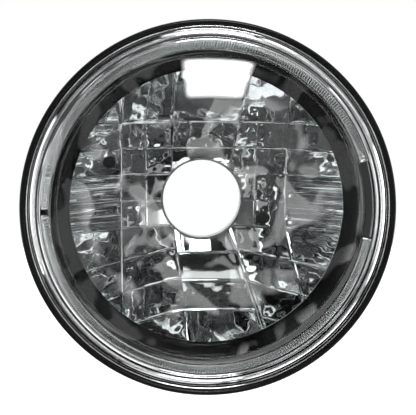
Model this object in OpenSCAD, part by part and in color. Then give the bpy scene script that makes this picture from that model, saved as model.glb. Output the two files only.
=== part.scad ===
// Round motorcycle headlight insert: a domed clear lens and a faceted reflector in a bright stepped ring.
// The optical axis is Y and the lamp shines towards -Y, with Z up. The origin is on the axis, in the plane
// where the rubber edge seal meets the headlight bowl. Profiles are drawn as radius against Y.

/* [Ring] */
// Diameter over the rubber edge seal, the overall diameter
lamp_d = 177.8; // [170:0.2:190]
// Radial depth of the edge seal
seal_w = 2.5; // [1.8:0.1:3.2]
// Length of the edge seal along the axis
seal_len = 6; // [5:0.2:8]
// Width of the ring's stepped face, from the seal in to the lip
face_w = 7.2; // [6.6:0.1:8]
// Radius of the rolled lip beside the lens
lip_bead_r = 0.7; // [0.5:0.05:0.8]
// Radius of the small bead beside the seal
edge_bead_r = 0.75; // [0.5:0.05:0.8]
// Thickness of the ring's front web
web_t = 1.2; // [0.8:0.1:1.6]
// Thickness of the ring's skirt and rear lip
sheet_t = 0.8; // [0.6:0.1:1]
// Height of the skirt's shoulder that stops the seal
seal_seat = 0.6; // [0.5:0.1:0.8]
// Width of the skirt's turned-in rear lip
rear_lip_w = 2; // [1.6:0.1:2.6]

/* [Lens] */
// How far the lens rim's face stands in front of the seat plane
lens_set = 2.6; // [2:0.1:3.2]
// Thickness of the lens rim
rim_t = 5.1; // [4:0.1:6]
// Radius of the dome's outer surface
dome_sphere_r = 150; // [120:5:220]
// Thickness of the glass in the dome
glass_t = 3.5; // [2.5:0.1:4]
// Height of the step from the rim up to the dome
dome_step = 1; // [0.6:0.1:1.6]
// Width of the ribbed band round the dome
band_w = 3.7; // [2.5:0.1:4.5]
// Height of the ribs on that band
rib_h = 0.35; // [0.2:0.05:0.4]
// Pitch of the ribs along the band, in degrees
rib_pitch = 2; // [1.5:0.5:4]
// First and last angle of the smooth pad in the band, anticlockwise from the right
pad_from = -11.3; // [-20:0.1:-5]
pad_to = 16.5; // [5:0.1:25]
// Angle of the narrow gap in the band
gap_at = 181.5; // [170:0.5:190]
// Width of the narrow gap, in degrees
gap_deg = 3; // [1:0.5:6]
// Thickness of the rubber cushion under the ring's lip
cushion_t = 0.6; // [0.4:0.1:0.8]
// Thickness of the sealant under the lens rim
sealant_t = 0.5; // [0.3:0.1:0.8]

/* [Reflector] */
// Width of the black bezel between the lens rim and the reflector's mouth
bezel_w = 9.5; // [7:0.5:14]
// Depth of the bezel along the axis
bezel_depth = 8; // [6:0.5:10]
// Thickness of the bezel
bezel_t = 1.2; // [0.8:0.1:1.6]
// Focal length of the bowl
focal = 24; // [22:0.5:28]
// Wall of the bowl
bowl_t = 3.2; // [2.8:0.1:4]
// Thickness of the flange that carries the lens
flange_t = 4; // [3:0.1:5]
// Wall outside the lens channel
channel_wall = 1.2; // [0.8:0.1:1.6]
// Distance of the outer facet columns' edges from the axis
side_x = 40; // [36:0.5:44]
// Height of one row of facets
row_h = 12.9; // [11:0.1:14]
// Radius of curvature of one facet
facet_r = 90; // [80:1:120]
// Smallest depth of a facet behind the plain bowl
facet_depth = 0.6; // [0.4:0.1:0.8]
// Step in depth between neighbouring facets
facet_step = 0.35; // [0.2:0.05:0.4]
// Number of narrow flutes in each outer column
flutes = 7; // [3:1:9]
// Radius of curvature of one flute
flute_r = 9; // [7:0.5:14]
// Diameter of the vent hole in the bowl
vent_d = 6.1; // [4:0.1:7]
// Distance of the vent hole beyond the outer column's edge
vent_off = 5.9; // [5:0.1:8]
// Wall of the boss round the vent hole
vent_wall = 3; // [2:0.5:4]
// How far the vent boss stands out of the bowl at its inner side
vent_boss_h = 1; // [0.5:0.1:3]
// Height of the vent plug's head
plug_head_h = 2; // [1:0.1:3]
// Number of locating lugs on the flange
lugs = 3; // [2:1:3]
// Width of a locating lug
lug_w = 9; // [6:1:12]
// Height of a locating lug
lug_h = 3; // [2:0.5:5]
// Depth of a locating lug
lug_depth = 6; // [4:0.5:6.5]
// How far the flange stands clear of the lug on the outside
lug_inset = 1; // [0.5:0.1:2]

/* [Bulb seat] */
// Bore that the bulb's cap passes through
bulb_bore_d = 38.3; // [37:0.1:39]
// Wall of the seat's spigot in the neck
spigot_t = 1; // [0.8:0.1:1.4]
// Length of the spigot
spigot_len = 7; // [4:0.5:8]
// Thickness of the seat's plate
seat_t = 1.5; // [1:0.1:2]
// Diameter of the recess for the bulb's flange
recess_d = 44.2; // [43.4:0.1:46]
// Wall round the recess
recess_wall = 1.5; // [1:0.1:2]
// Depth of the recess
recess_depth = 2.5; // [1.5:0.1:3]
// Width of the top locating notch
top_notch_w = 8.4; // [7:0.1:10]
// Width of the two lower locating notches
side_notch_w = 6.4; // [5:0.1:8]
// Distance from the bowl's vertex back to the neck's end face
neck_len = 5.2; // [4:0.1:7]
// Wall of the neck
neck_wall = 6.2; // [5:0.1:8]
// Width of the pad beyond the latch's rivet plate
pad_margin = 1.5; // [0.5:0.1:3]
// Thickness of that pad
pad_t = 4; // [3:0.5:5]
// Diameter of the rivets' shanks
rivet_d = 2.4; // [2:0.1:3]
// Diameter of the rivets' heads
rivet_head_d = 4.4; // [3.6:0.1:5]
// Height of the rivets' heads
rivet_head_h = 1; // [0.6:0.1:1.4]

/* [Bulb clip] */
// Diameter of the clip's wire
wire_d = 1.6; // [1.2:0.1:1.8]
// Distance of the hinge bracket's edge from the recess's wall
bracket_off = 1.24; // [0.6:0.02:3]
// Distance of the closed clip's crossbar from the recess's wall
crossbar_off = 2.4; // [1.8:0.1:4]
// Length of the hinge's wire that shows beside its tube
foot_off = 2; // [1.8:0.1:3]
// How far the clip's legs splay out from there
leg_splay = 3; // [2:0.5:5]
// Half the width of the crossbar
tab_x = 6; // [5:0.5:8]
// Radius of the wire's bends
bend_r = 2.4; // [2:0.1:3]
// Radial play of the wire in its hinge tube
hinge_play = 0.06; // [0.04:0.01:0.1]
// Wall of the hinge tube
tube_wall = 1.3; // [1:0.1:1.6]
// Length of the hinge tube
tube_len = 22; // [18:1:23]
// Thickness of the stamped brackets
bracket_t = 1.2; // [0.8:0.1:1.5]

/* [Spring clips] */
// Number of spring clips round the ring
clips = 6; // [3:1:6]
// Diameter of the spring clips' wire
clip_wire_d = 1.6; // [1.2:0.1:1.8]
// Width of one spring clip
clip_w = 26; // [22:1:30]
// Width of a spring clip's hooked end
clip_hook_w = 4; // [3:0.5:6]
// How far a spring clip's feet reach in from the flange's edge
clip_reach = 6.8; // [5:0.1:8]
// How far its crest lies in from the flange's edge
crest_reach = 1.6; // [1:0.1:3]

/* [Hidden] */
$fn = 72;

// Named clearances
unit_gap = 0.4;
lens_gap = 0.4;
band_gap = 0.4;
bezel_gap = 0.2;
seat_gap = 0.1;
clip_gap = 0.3;
latch_gap = 0.9;
rivet_edge = 0.8;
latch_edge = 0.6;
foot_gap = 0.2;
overrun = 1;
cell_lap = 0.15;
row_drop = 0.2;
// How far a wire's straight lengths run into its bends, and how much slimmer the bends are
wire_bite = 0.05;
wire_thinning = 0.02;

// Radii, from the outside in
lamp_r = lamp_d / 2;
seal_in_r = lamp_r - seal_w;
skirt_r = seal_in_r + seal_seat;
skirt_in_r = skirt_r - sheet_t;
rear_lip_r = skirt_in_r - rear_lip_w;
unit_r = rear_lip_r - unit_gap;
channel_r = unit_r - channel_wall;
lens_r = channel_r - lens_gap;
ring_in_r = seal_in_r - face_w;
band_r = ring_in_r - band_gap;
band_in_r = band_r - band_w;
dome_edge = 0.6;
dome_r = band_in_r - dome_edge;
bezel_r = dome_r - bezel_gap;
mouth_r = bezel_r - bezel_w;

// Places along the axis, from the front back
shoulder_y = -lens_set - cushion_t;
web_y = shoulder_y - web_t;
rim_front_y = -lens_set;
dome_y = rim_front_y - dome_step;
rim_back_y = rim_front_y + rim_t;
flange_y = rim_back_y + sealant_t;
flange_back_y = flange_y + flange_t;
clip_y = flange_back_y + clip_wire_d / 2 + 0.05;
clip_bend_r = 1.4;
rear_lip_y = flange_back_y + clip_wire_d + clip_gap;
skirt_end_y = rear_lip_y + sheet_t;
mouth_y = flange_y + bezel_depth;
vertex_y = mouth_y + mouth_r * mouth_r / (4 * focal);
seat_y = vertex_y + neck_len;
cut_y = vertex_y + 3;

// The ring's main bead fills what the lip and the edge bead leave
main_bead_r = (face_w - 2 * lip_bead_r - 2 * edge_bead_r) / 2;
main_bead_c = seal_in_r - 2 * edge_bead_r - main_bead_r;

// The lens channel's wall stands this far behind the rim's face, and the flange's back this far off the mouth
channel_set = 1.6;
flange_inset = 6;

// The bulb seat, the clip's hinge and the latch
bore_r = bulb_bore_d / 2;
spigot_r = bore_r + spigot_t;
neck_in_r = spigot_r + seat_gap;
neck_r = neck_in_r + neck_wall;
recess_r = recess_d / 2;
recess_out_r = recess_r + recess_wall;
ear_x = recess_out_r + rivet_head_d / 2 + rivet_edge;
ear_r = rivet_head_d / 2 + rivet_edge;
plate_y = seat_y + seat_t;
tube_bore_r = wire_d / 2 + hinge_play;
tube_r = tube_bore_r + tube_wall;
bracket_edge = 1;
bracket_h = 2 * (tube_r + bracket_edge);
hinge_y = plate_y + recess_depth + wire_d / 2 + clip_gap;
hinge_drop = recess_out_r + bracket_off + bracket_h / 2;
crossbar_z = recess_out_r + crossbar_off;
clip_len = hinge_drop + crossbar_z;
stub_x = 4.5;
// The clip's legs leave the hinge at foot_x, splay out to leg_x and taper in again to the crossbar
foot_x = tube_len / 2 + foot_off;
leg_x = foot_x + leg_splay;
splay_len = 13;
taper_len = 20;
bracket_rivet_x = tube_len / 2 + rivet_head_d / 2 + 2 * foot_gap;
bracket_x = bracket_rivet_x + rivet_head_d / 2 + rivet_edge;
latch_inner_z = crossbar_z + wire_d / 2 + clip_gap;
latch_t = bracket_t;
latch_x = 4.5;
latch_rivet_z = latch_inner_z + latch_t + rivet_head_d / 2 + foot_gap;
latch_end_z = latch_rivet_z + rivet_head_d / 2 + latch_edge;
pad_r = latch_end_z + pad_margin;
latch_top_y = hinge_y + wire_d / 2 + latch_gap;

// The vent hole lies in the left column, in the second row above the middle
vent_x = -side_x - vent_off;
vent_z = 1.53 * row_h;
vent_r = vent_d / 2;
plug_gap = 0.1;

// Facet layout as seen from the front: a column edge is [x at z = 0, change of x with z],
// and a row edge is [z at x = 0, change of z with x]
far = 90;
top_z = 3 * row_h - row_drop;
side_z = row_h - row_drop;
band_z = -row_h - row_drop;
flute_h = (side_z - band_z) / flutes;
inner_x = 14.8;
sub_left_x = 27.7;
sub_right_x = 26;
fan_lean = 0.17;
low_left_lean = 0.127;
low_right_lean = 0.3;
low_side_lean = 0.18;
low_row_lean = 0.16;
low_row_drop = 8.7;
low_row_h = 14;
fan_right = [10.6, fan_lean];
low_left = [-15.7, -low_left_lean];
low_right = [10.5, -low_right_lean];
low_side = [side_x + low_side_lean * band_z, -low_side_lean];
low_rows_left = [[band_z, 0], for (k = [0:2]) [band_z - low_row_drop - k * low_row_h, low_row_lean], [-far, 0]];
low_rows_right = [for (r = low_rows_left) [r[0], -r[1]]];
side_rows = [for (k = [0:flutes]) [side_z - k * flute_h, 0]];
upper_rows = [for (k = [3:-1:1]) [k * row_h - row_drop, 0]];
ZONES = [
    [[[-far, 0], [-side_x, 0], [-inner_x, 0], fan_right, [side_x, 0], [far, 0]], [[far, 0], [top_z, 0]]],
    [
        [[-side_x, 0], [-sub_left_x, 0], [-inner_x, 0], fan_right, [sub_right_x, 0], [side_x, 0]],
        [for (k = [3:-1:-1]) [k * row_h - row_drop, 0]]
    ],
    [[[-far, 0], [-side_x, 0]], upper_rows],
    [[[side_x, 0], [far, 0]], upper_rows],
    [[[-far, 0], [-side_x, 0], low_left], low_rows_left],
    [[low_left, low_right], [for (z = [band_z, band_z - row_h, band_z - 2 * row_h, band_z - 3 * row_h, -far]) [z, 0]]],
    [[low_right, low_side, [far, 0]], low_rows_right]
];
FLUTES = [
    [[[-far, 0], [-side_x, 0]], side_rows],
    [[[side_x, 0], [far, 0]], side_rows]
];

// Y of the plain bowl at radius r
function bowl_y(r) = vertex_y - r * r / (4 * focal);

// The point where a column edge meets a row edge, as [x, z]
function meet(c, r) = let (z = (r[0] + r[1] * c[0]) / (1 - r[1] * c[1])) [c[0] + c[1] * z, z];

// An edge moved by d along its own axis
function moved(edge, d) = [edge[0] + d, edge[1]];

// The edges of one cell of a zone: left, right, top and bottom. They lap a little over its neighbours, so
// that no two cells that touch only at a corner leave an edge of no thickness there. The last two values
// are how far the zone's rows are drawn to the left and right
function cell(zone, i, j) = [
    moved(zone[0][i], -cell_lap), moved(zone[0][i + 1], cell_lap),
    moved(zone[1][j], cell_lap), moved(zone[1][j + 1], -cell_lap),
    zone[0][0][0] - row_h, zone[0][len(zone[0]) - 1][0] + row_h
];

// The middle of a cell, held inside the bowl's mouth
function middle(edges) =
    let (
        limit = mouth_r - 6,
        corners = [for (k = [0:3]) meet(edges[k < 2 ? 0 : 1], edges[k % 2 == 0 ? 2 : 3])],
        held = [for (p = corners) p * min(1, limit / norm(p))]
    ) (held[0] + held[1] + held[2] + held[3]) / 4;

function unit(v) = v / norm(v);

// Turns a profile of radius against Y round the axis
module revolve() rotate([-90, 0, 0]) rotate_extrude() children();

// Extrudes a front view, drawn as X against Z, from y0 back to y1
module prism(y0, y1) translate([0, y1, 0]) rotate([90, 0, 0]) linear_extrude(y1 - y0) children();

// A cylinder along Y from y0 back to y1
module rod_y(r, y0, y1) translate([0, y0, 0]) rotate([-90, 0, 0]) cylinder(r = r, h = y1 - y0);

// A round wire along a flat path of points in XY, with arcs of radius b at its bends
module bent_wire(points, r, b) {
    last = len(points) - 1;
    back = [for (i = [1:last]) unit(points[i - 1] - points[i])];
    fore = [for (i = [0:last - 1]) unit(points[i + 1] - points[i])];
    // Length that the bend at a corner takes from each side
    cut = [for (i = [0:last]) i == 0 || i == last ? 0 : b / tan(acos(back[i - 1] * fore[i]) / 2)];
    for (i = [0:last - 1]) {
        from = points[i] + fore[i] * (i == 0 ? 0 : cut[i] - wire_bite);
        to = points[i + 1] - fore[i] * (i == last - 1 ? 0 : cut[i + 1] - wire_bite);
        turn = atan2(fore[i][1], fore[i][0]);
        translate([from[0], from[1], 0]) rotate([0, 90, turn]) cylinder(r = r, h = norm(to - from));
    }
    for (i = [1:last - 1]) {
        middle_way = unit(back[i - 1] + fore[i]);
        centre = points[i] + middle_way * norm([cut[i], b]);
        t1 = points[i] + back[i - 1] * cut[i] - centre;
        t2 = points[i] + fore[i] * cut[i] - centre;
        a1 = atan2(t1[1], t1[0]);
        swing = atan2(t1[0] * t2[1] - t1[1] * t2[0], t1 * t2);
        translate([centre[0], centre[1], 0])
            rotate(swing > 0 ? a1 : a1 + swing)
                rotate_extrude(angle = abs(swing)) translate([b, 0]) circle(r - wire_thinning);
    }
}

// A rivet along Y with its head's underside at y and its shank in front
module rivet(x, y, z, depth) translate([x, 0, z]) {
    rod_y(rivet_d / 2, y - depth, y);
    rod_y(rivet_head_d / 2, y, y + rivet_head_h);
}

// A hole for a rivet's shank
module rivet_hole(x, z, y0, y1) translate([x, 0, z]) rod_y(rivet_d / 2 + seat_gap, y0, y1);

// Round bead of radius r on the ring's web, centred at radius c
module bead(c, r) translate([c, web_y]) circle(r);

module retaining_ring() color("silver") revolve() {
    // The rolled front face, flat behind where it bears on the cushion
    intersection() {
        union() {
            translate([ring_in_r, web_y]) square([face_w, web_t]);
            bead(ring_in_r + lip_bead_r, lip_bead_r);
            bead(main_bead_c, main_bead_r);
            bead(seal_in_r - edge_bead_r, edge_bead_r);
        }
        translate([ring_in_r, shoulder_y - face_w]) square([face_w, face_w]);
    }
    translate([skirt_in_r, web_y]) square([seal_in_r - skirt_in_r, seal_seat - web_y]);
    translate([skirt_in_r, seal_seat]) square([sheet_t, skirt_end_y - seal_seat]);
    translate([rear_lip_r, rear_lip_y]) square([rear_lip_w + sheet_t, sheet_t]);
}

module edge_seal() color("dimgray") revolve() {
    front_r = seal_w / 2;
    groove = 0.7;
    rear_len = 2.6;
    translate([seal_in_r + front_r, front_r - seal_len]) circle(front_r);
    translate([seal_in_r, front_r - seal_len]) square([seal_w - groove, seal_len - front_r]);
    translate([seal_in_r, -rear_len]) square([seal_w, rear_len]);
    translate([seal_in_r, -rear_len]) square([seal_seat, rear_len + seal_seat]);
}

module ring_cushion() color("black") revolve()
    translate([ring_in_r + lip_bead_r, shoulder_y]) square([lens_r - ring_in_r - lip_bead_r, cushion_t]);

// Ribs between two angles: a toothed strip whose teeth run out along the radius
module ribs(from, to) {
    count = floor((to - from) / rib_pitch);
    step = (to - from) / count;
    root_r = band_in_r + 0.4;
    points = [
        for (k = [0:count - 1])
            for (t = [[root_r, 0], [band_r, 0.1], [band_r, 0.55], [root_r, 0.65]])
                t[0] * [cos(from + (k + t[1]) * step), sin(from + (k + t[1]) * step)],
        for (k = [count:-1:0]) band_in_r * [cos(from + k * step), sin(from + k * step)]
    ];
    prism(rim_front_y - rib_h, rim_front_y) polygon(points);
}

module lens() color("lightcyan", 0.4) {
    centre_y = dome_y + sqrt(dome_sphere_r * dome_sphere_r - dome_r * dome_r);
    skirt_r2 = dome_r - glass_t;
    difference() {
        union() {
            rod_y(lens_r, rim_front_y, rim_back_y);
            intersection() {
                translate([0, centre_y, 0]) sphere(dome_sphere_r);
                rod_y(dome_r, dome_y - dome_sphere_r / 2, rim_front_y);
            }
        }
        intersection() {
            translate([0, centre_y, 0]) sphere(dome_sphere_r - glass_t);
            rod_y(skirt_r2, dome_y - dome_sphere_r / 2, rim_back_y + overrun);
        }
    }
    ribs(pad_to, gap_at - gap_deg / 2);
    ribs(gap_at + gap_deg / 2, 360 + pad_from);
}

module lens_sealant() color("black") revolve()
    translate([band_r + band_gap, rim_back_y]) square([channel_r - band_r - band_gap, sealant_t]);

module bezel() color("black") revolve()
    polygon([
        [mouth_r, mouth_y], [mouth_r, mouth_y - bezel_t],
        [bezel_r - bezel_t, flange_y], [bezel_r, flange_y]
    ]);

// The front view of a cell: its whole column, crossed by its whole row, so that the cells of one column or
// row share their edges exactly
module outline(edges) intersection() {
    polygon([for (c = [[0, far], [1, far], [1, -far], [0, -far]]) [edges[c[0]][0] + edges[c[0]][1] * c[1], c[1]]]);
    polygon([for (c = [[2, 4], [2, 5], [3, 5], [3, 4]])
        [edges[c[1]], edges[c[0]][0] + edges[c[0]][1] * edges[c[1]]]]);
}

// A facet is cut deeper than the plain bowl, as part of its own sphere
module facet(edges, radius, depth) {
    c = middle(edges);
    inward = unit([-c[0] / (2 * focal), -1, -c[1] / (2 * focal)]);
    on_bowl = [c[0], bowl_y(norm(c)) + depth, c[1]];
    intersection() {
        prism(flange_y - overrun, cut_y) outline(edges);
        translate(on_bowl + radius * inward) sphere(radius);
        rod_y(mouth_r, flange_y, cut_y);
    }
}

// A flute is a shallow trough that runs out along X at the slope of the bowl there
module flute(edges, depth) {
    c = middle(edges);
    slope = atan(abs(c[0]) / (2 * focal));
    side = sign(c[0]);
    on_bowl = [c[0], bowl_y(norm(c)) + depth, c[1]];
    intersection() {
        prism(flange_y - overrun, cut_y) outline(edges);
        translate(on_bowl) rotate([0, 0, -side * slope]) translate([0, -flute_r, 0]) union() {
            rotate([0, 90, 0]) cylinder(r = flute_r, h = far, center = true);
            translate([-far / 2, -far, -far / 2]) cube([far, far, far]);
        }
        rod_y(mouth_r, flange_y, cut_y);
    }
}

// The bowl's cavity: the plain bowl with its facets and flutes
module cavity() {
    rings = 20;
    revolve() polygon([
        [0, flange_y - overrun], [mouth_r, flange_y - overrun],
        for (k = [rings:-1:0]) [mouth_r * k / rings, bowl_y(mouth_r * k / rings)]
    ]);
    for (n = [0:len(ZONES) - 1], i = [0:len(ZONES[n][0]) - 2], j = [0:len(ZONES[n][1]) - 2])
        facet(cell(ZONES[n], i, j), facet_r, facet_depth + facet_step * ((n + i + 2 * j) % 3));
    for (n = [0:1], j = [0:flutes - 1])
        flute(cell(FLUTES[n], 0, j), facet_depth + facet_step * (j % 2));
}

module reflector() color("gainsboro") {
    rings = 16;
    back_t = [for (k = [0:rings]) let (r = mouth_r * k / rings) bowl_t * norm([1, r / (2 * focal)])];
    pad_y = seat_y - pad_t;
    channel_y = rim_front_y + channel_set;
    flange_in_r = mouth_r + flange_inset;
    lug_in_r = unit_r - lug_inset - lug_depth;
    difference() {
        union() {
            revolve() polygon([
                [0, mouth_y], [mouth_r, mouth_y], [bezel_r, flange_y], [channel_r, flange_y],
                [channel_r, channel_y], [unit_r, channel_y],
                [unit_r, flange_back_y], [flange_in_r, flange_back_y],
                for (k = [rings:-1:0]) [mouth_r * k / rings, bowl_y(mouth_r * k / rings) + back_t[k]]
            ]);
            rod_y(neck_r, vertex_y - neck_r * neck_r / (4 * focal), seat_y);
            rod_y(pad_r, pad_y, seat_y);
            translate([vent_x, 0, vent_z])
                rod_y(vent_r + vent_wall, bowl_y(norm([vent_x, vent_z])), vent_back_y());
            for (k = [0:lugs - 1]) rotate([0, -90 - k * 120, 0])
                translate([lug_in_r, flange_back_y, -lug_w / 2]) cube([lug_depth, lug_h, lug_w]);
        }
        cavity();
        rod_y(neck_in_r, mouth_y, seat_y + overrun);
        translate([vent_x, 0, vent_z]) rod_y(vent_r, mouth_y, vent_back_y() + overrun);
        for (side = [-1, 1]) rivet_hole(side * ear_x, 0, pad_y - overrun, seat_y + overrun);
        for (side = [-1, 1]) rivet_hole(side * bracket_rivet_x, -hinge_drop, pad_y - overrun, seat_y + overrun);
        rivet_hole(0, latch_rivet_z, pad_y - overrun, seat_y + overrun);
    }
}

// Y of the vent boss's rear face, which clears the bowl's back where that stands highest
function vent_back_y() = let (r = norm([vent_x, vent_z]) - vent_r - vent_wall)
    bowl_y(r) + bowl_t * norm([1, r / (2 * focal)]) + vent_boss_h;

module vent_plug() color("black") translate([vent_x, 0, vent_z]) {
    rod_y(vent_r - plug_gap, bowl_y(norm([vent_x, vent_z])) + bowl_t, vent_back_y());
    rod_y(vent_r + vent_wall - 5 * plug_gap, vent_back_y(), vent_back_y() + plug_head_h);
}

module bulb_seat() color("lightgray") difference() {
    union() {
        rod_y(spigot_r, seat_y - spigot_len, plate_y);
        rod_y(recess_out_r, seat_y, plate_y + recess_depth);
        for (side = [-1, 1]) translate([side * ear_x, 0, 0]) rod_y(ear_r, seat_y, plate_y);
        translate([-ear_x, seat_y, -ear_r]) cube([2 * ear_x, seat_t, 2 * ear_r]);
    }
    rod_y(bore_r, seat_y - spigot_len - overrun, plate_y + overrun);
    rod_y(recess_r, plate_y, plate_y + recess_depth + overrun);
    for (a = [90, 210, 330]) rotate([0, -a, 0]) {
        w = a == 90 ? top_notch_w : side_notch_w;
        translate([bore_r + 1, plate_y, -w / 2]) cube([recess_out_r - bore_r, recess_depth + overrun, w]);
    }
    for (side = [-1, 1]) rivet_hole(side * ear_x, 0, seat_y - overrun, plate_y + overrun);
}

module seat_rivets() color("silver")
    for (side = [-1, 1]) rivet(side * ear_x, plate_y, 0, seat_t + pad_t);

module hinge_bracket() color("lightgray") difference() {
    union() {
        translate([-bracket_x, seat_y, -hinge_drop - bracket_h / 2]) cube([2 * bracket_x, bracket_t, bracket_h]);
        translate([-tube_len / 2, seat_y, -hinge_drop - tube_r]) cube([tube_len, hinge_y - seat_y, 2 * tube_r]);
        translate([-tube_len / 2, hinge_y, -hinge_drop]) rotate([0, 90, 0]) cylinder(r = tube_r, h = tube_len);
    }
    translate([-tube_len, hinge_y, -hinge_drop]) rotate([0, 90, 0]) cylinder(r = tube_bore_r, h = 2 * tube_len);
    for (side = [-1, 1])
        rivet_hole(side * bracket_rivet_x, -hinge_drop, seat_y - overrun, seat_y + bracket_t + overrun);
}

module bracket_rivets() color("silver")
    for (side = [-1, 1]) rivet(side * bracket_rivet_x, seat_y + bracket_t, -hinge_drop, bracket_t + pad_t);

module latch_hook() color("lightgray") difference() {
    union() {
        translate([-latch_x, seat_y, latch_inner_z]) cube([2 * latch_x, bracket_t, latch_end_z - latch_inner_z]);
        translate([-latch_x, seat_y, latch_inner_z]) cube([2 * latch_x, latch_top_y - seat_y, latch_t]);
        translate([-latch_x, latch_top_y, latch_inner_z - wire_d])
            cube([2 * latch_x, bracket_t, wire_d + latch_t]);
    }
    rivet_hole(0, latch_rivet_z, seat_y - overrun, seat_y + bracket_t + overrun);
}

module latch_rivet() color("silver") rivet(0, seat_y + bracket_t, latch_rivet_z, bracket_t + pad_t);

// The clip hangs open below its hinge; turned up about X it lies over the bulb's flange
module bulb_clip() color("silver") {
    half = [[stub_x, 0], [foot_x, 0], [leg_x, splay_len], [leg_x, clip_len - taper_len], [tab_x, clip_len]];
    points = [for (p = half) p, for (k = [4:-1:0]) [-half[k][0], half[k][1]]];
    translate([0, hinge_y, -hinge_drop]) rotate([-90, 0, 0]) bent_wire(points, wire_d / 2, bend_r);
}

// A wire W that hooks under the ring's rear lip at both ends and bears on the flange between
module spring_clip(k) color("silver") {
    end_x = clip_w / 2;
    end_r = skirt_in_r - clip_gap - clip_wire_d / 2;
    knee_x = end_x - clip_hook_w;
    foot_r = unit_r - clip_reach;
    crest_r = unit_r - crest_reach;
    half = [
        [end_x, sqrt(end_r * end_r - end_x * end_x)], [knee_x, sqrt(end_r * end_r - end_x * end_x) + 2 * foot_gap],
        [end_x / 2, foot_r]
    ];
    points = [for (p = half) p, [0, crest_r], for (i = [2:-1:0]) [-half[i][0], half[i][1]]];
    if (k < clips)
        translate([0, clip_y, 0]) rotate([0, -90 - k * 360 / clips, 0]) rotate([-90, 0, 0])
            bent_wire(points, clip_wire_d / 2, clip_bend_r);
}

retaining_ring();
edge_seal();
ring_cushion();
lens();
lens_sealant();
bezel();
reflector();
vent_plug();
bulb_seat();
seat_rivets();
hinge_bracket();
bracket_rivets();
latch_hook();
latch_rivet();
bulb_clip();
spring_clip(0);  // spring_clip_1
spring_clip(1);  // spring_clip_2
spring_clip(2);  // spring_clip_3
spring_clip(3);  // spring_clip_4
spring_clip(4);  // spring_clip_5
spring_clip(5);  // spring_clip_6
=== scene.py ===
import math

import bpy
import numpy as np
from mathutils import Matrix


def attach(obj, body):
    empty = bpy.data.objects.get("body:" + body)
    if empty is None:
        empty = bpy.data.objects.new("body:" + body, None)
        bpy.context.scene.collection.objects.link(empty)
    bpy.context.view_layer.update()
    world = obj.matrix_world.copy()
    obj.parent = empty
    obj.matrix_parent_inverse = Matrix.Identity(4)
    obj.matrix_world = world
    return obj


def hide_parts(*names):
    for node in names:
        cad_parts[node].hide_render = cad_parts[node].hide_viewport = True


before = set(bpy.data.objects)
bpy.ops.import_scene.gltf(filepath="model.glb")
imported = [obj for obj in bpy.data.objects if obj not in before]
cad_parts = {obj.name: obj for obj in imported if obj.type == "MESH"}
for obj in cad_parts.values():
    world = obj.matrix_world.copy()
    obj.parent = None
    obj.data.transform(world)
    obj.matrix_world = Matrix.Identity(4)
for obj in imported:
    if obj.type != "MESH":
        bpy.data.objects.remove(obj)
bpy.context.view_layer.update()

bl_info = {
    "name": "Round Headlight Insert",
    "version": (1, 0, 0),
    "blender": (4, 5, 0),
    "location": "3D View > Sidebar > Headlight",
    "description": "Dresses the packed frame of a round motorcycle headlight insert and sets up its studio",
    "category": "Add Mesh",
}

MM = 0.001


# Shapes worked out as whole arrays, in millimetres, with Y the optical axis and the lamp facing -Y


def rows_of(x, y, z):
    """Three arrays of coordinates as one list of points."""
    return np.stack(np.broadcast_arrays(x, y, z), axis=-1).reshape(-1, 3)


def grid_quads(rows, columns, wrap_rows, wrap_columns):
    """Quads of a grid of points, where point (i, j) has number i * columns + j."""
    i = np.arange(rows if wrap_rows else rows - 1)[:, None]
    j = np.arange(columns if wrap_columns else columns - 1)[None, :]
    i2, j2 = (i + 1) % rows, (j + 1) % columns
    corners = (i * columns + j, i2 * columns + j, i2 * columns + j2, i * columns + j2)
    return np.stack([c.ravel() for c in np.broadcast_arrays(*corners)], axis=1)


def welded(points, faces):
    """Points that round to the same place become one. A quad that loses one corner becomes a triangle,
    and a face that loses more is dropped, which closes seams and poles."""
    _, first, inverse = np.unique(np.round(points, 5), axis=0, return_index=True, return_inverse=True)
    inverse = inverse.ravel()
    kept = []
    for face in faces:
        f = inverse[face]
        same = f == np.roll(f, -1, axis=1)
        count = same.sum(axis=1)
        size = f.shape[1]
        whole = f[count == 0]
        if size == 4:
            whole = whole[(whole[:, 0] != whole[:, 2]) & (whole[:, 1] != whole[:, 3])]
            short = f[count == 1]
            at = same[count == 1].argmax(axis=1)[:, None]
            turn = (at + np.arange(1, 4)) % 4
            tris = np.take_along_axis(short, turn, axis=1)
            kept.append(tris[(tris[:, 0] != tris[:, 1]) & (tris[:, 1] != tris[:, 2]) & (tris[:, 0] != tris[:, 2])])
        kept.append(whole)
    return points[first], kept


def joined(*parts):
    """Several (points, faces) surfaces as one."""
    start, points, faces = 0, [], []
    for p, f in parts:
        points.append(p)
        faces += [q + start for q in f]
        start += len(p)
    return np.concatenate(points), faces


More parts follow.
